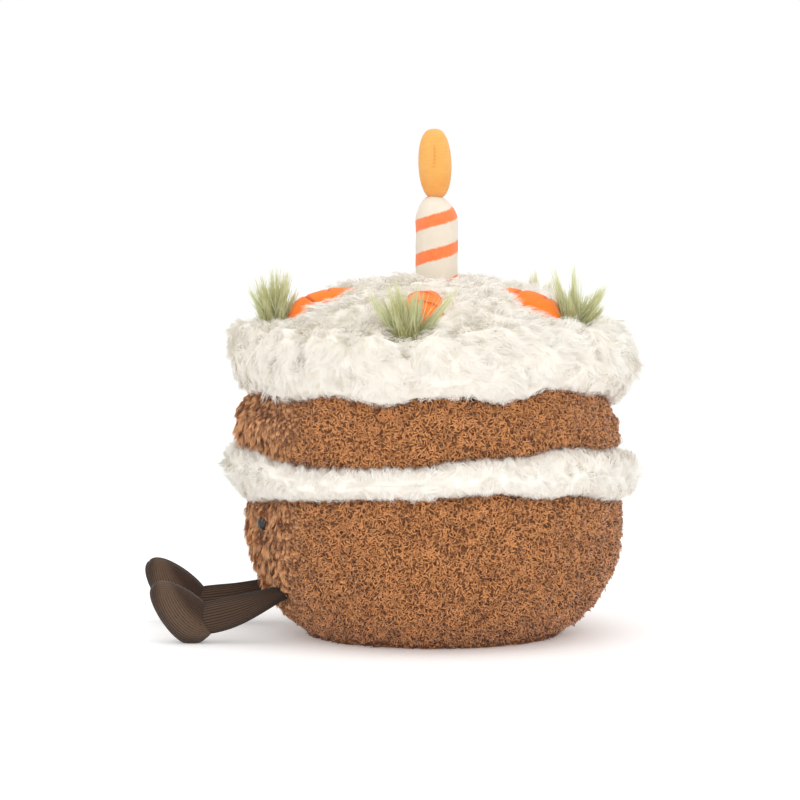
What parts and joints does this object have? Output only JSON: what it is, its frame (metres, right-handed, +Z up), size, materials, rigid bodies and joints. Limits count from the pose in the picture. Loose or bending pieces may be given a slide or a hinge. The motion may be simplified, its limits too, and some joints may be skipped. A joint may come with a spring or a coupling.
{
  "type": "carrot cake soft toy",
  "caption": "Plush toy in the shape of a layered carrot cake with fluffy icing, a candle, small carrots, bead eyes and corduroy legs.",
  "frame": {"origin": "centre of the flat base that the toy sits on", "axes": "+Z up along the candle, -X towards the face and the legs, +Y to the toy's right"},
  "size_m": [0.2152, 0.1778, 0.217],
  "materials": {
    "boucle": "curly brown boucle pile",
    "white_fur": "long off-white fur pile",
    "candle_cloth": "short-nap off-white cloth with wound orange stripes",
    "flame_felt": "warm yellow ribbed felt",
    "carrot_cloth": "smooth orange cloth with short stitched creases",
    "green_fur": "long pale green pile",
    "corduroy": "dark brown needlecord",
    "bead": "glossy black bead"
  },
  "bodies": {
    "root": {"sponge_lower": "boucle", "cream_band": "white_fur", "sponge_upper": "boucle", "icing": "white_fur", "candle": "candle_cloth", "flame": "flame_felt", "carrot_1": "carrot_cloth", "leaves_1": "green_fur", "carrot_2": "carrot_cloth", "leaves_2": "green_fur", "carrot_3": "carrot_cloth", "leaves_3": "green_fur", "carrot_4": "carrot_cloth", "leaves_4": "green_fur", "carrot_5": "carrot_cloth", "leaves_5": "green_fur", "leg_left": "corduroy", "eye_left": "bead", "leg_right": "corduroy", "eye_right": "bead"}
  },
  "joints": []
}
